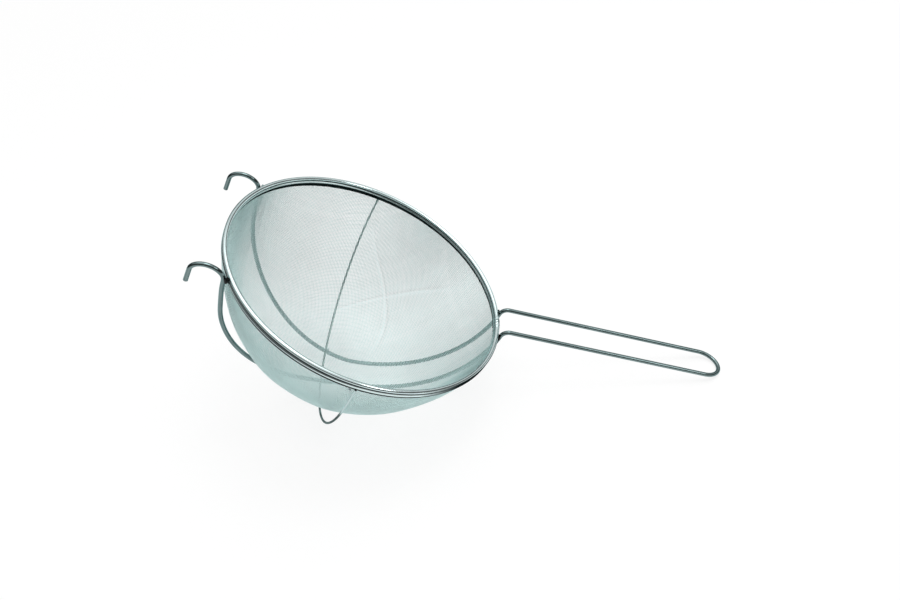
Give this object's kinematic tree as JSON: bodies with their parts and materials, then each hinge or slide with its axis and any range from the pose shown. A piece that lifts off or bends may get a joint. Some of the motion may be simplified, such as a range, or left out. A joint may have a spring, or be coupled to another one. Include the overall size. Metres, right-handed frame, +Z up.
{
  "type": "kitchen sieve",
  "caption": "Steel kitchen sieve: a woven wire bowl in a crimped rim, carried by a bent wire frame with a long handle loop and hooks that rest on a pot's edge.",
  "frame": {"origin": "centre of the bounding box's footprint, on the worktop that the sieve leans on", "axes": "+X towards the end of the handle, +Y to the left seen from the hooks, +Z up"},
  "size_m": [0.4604, 0.2607, 0.2053],
  "materials": {
    "cloth_steel": "satin",
    "rim_steel": "polished",
    "wire_steel": "polished",
    "weld_steel": "matte"
  },
  "bodies": {
    "root": {"mesh_bowl": "cloth_steel", "rim_strip": "rim_steel", "handle_loop": "wire_steel", "cross_wire": "wire_steel", "stay_left": "wire_steel", "stay_right": "wire_steel", "hook_left": "wire_steel", "hook_right": "wire_steel", "weld_hook_left": "weld_steel", "weld_hook_right": "weld_steel", "weld_handle_left": "weld_steel", "weld_handle_right": "weld_steel", "weld_cross_left": "weld_steel", "weld_cross_right": "weld_steel", "weld_crossing_left": "weld_steel", "weld_crossing_right": "weld_steel"}
  },
  "joints": []
}
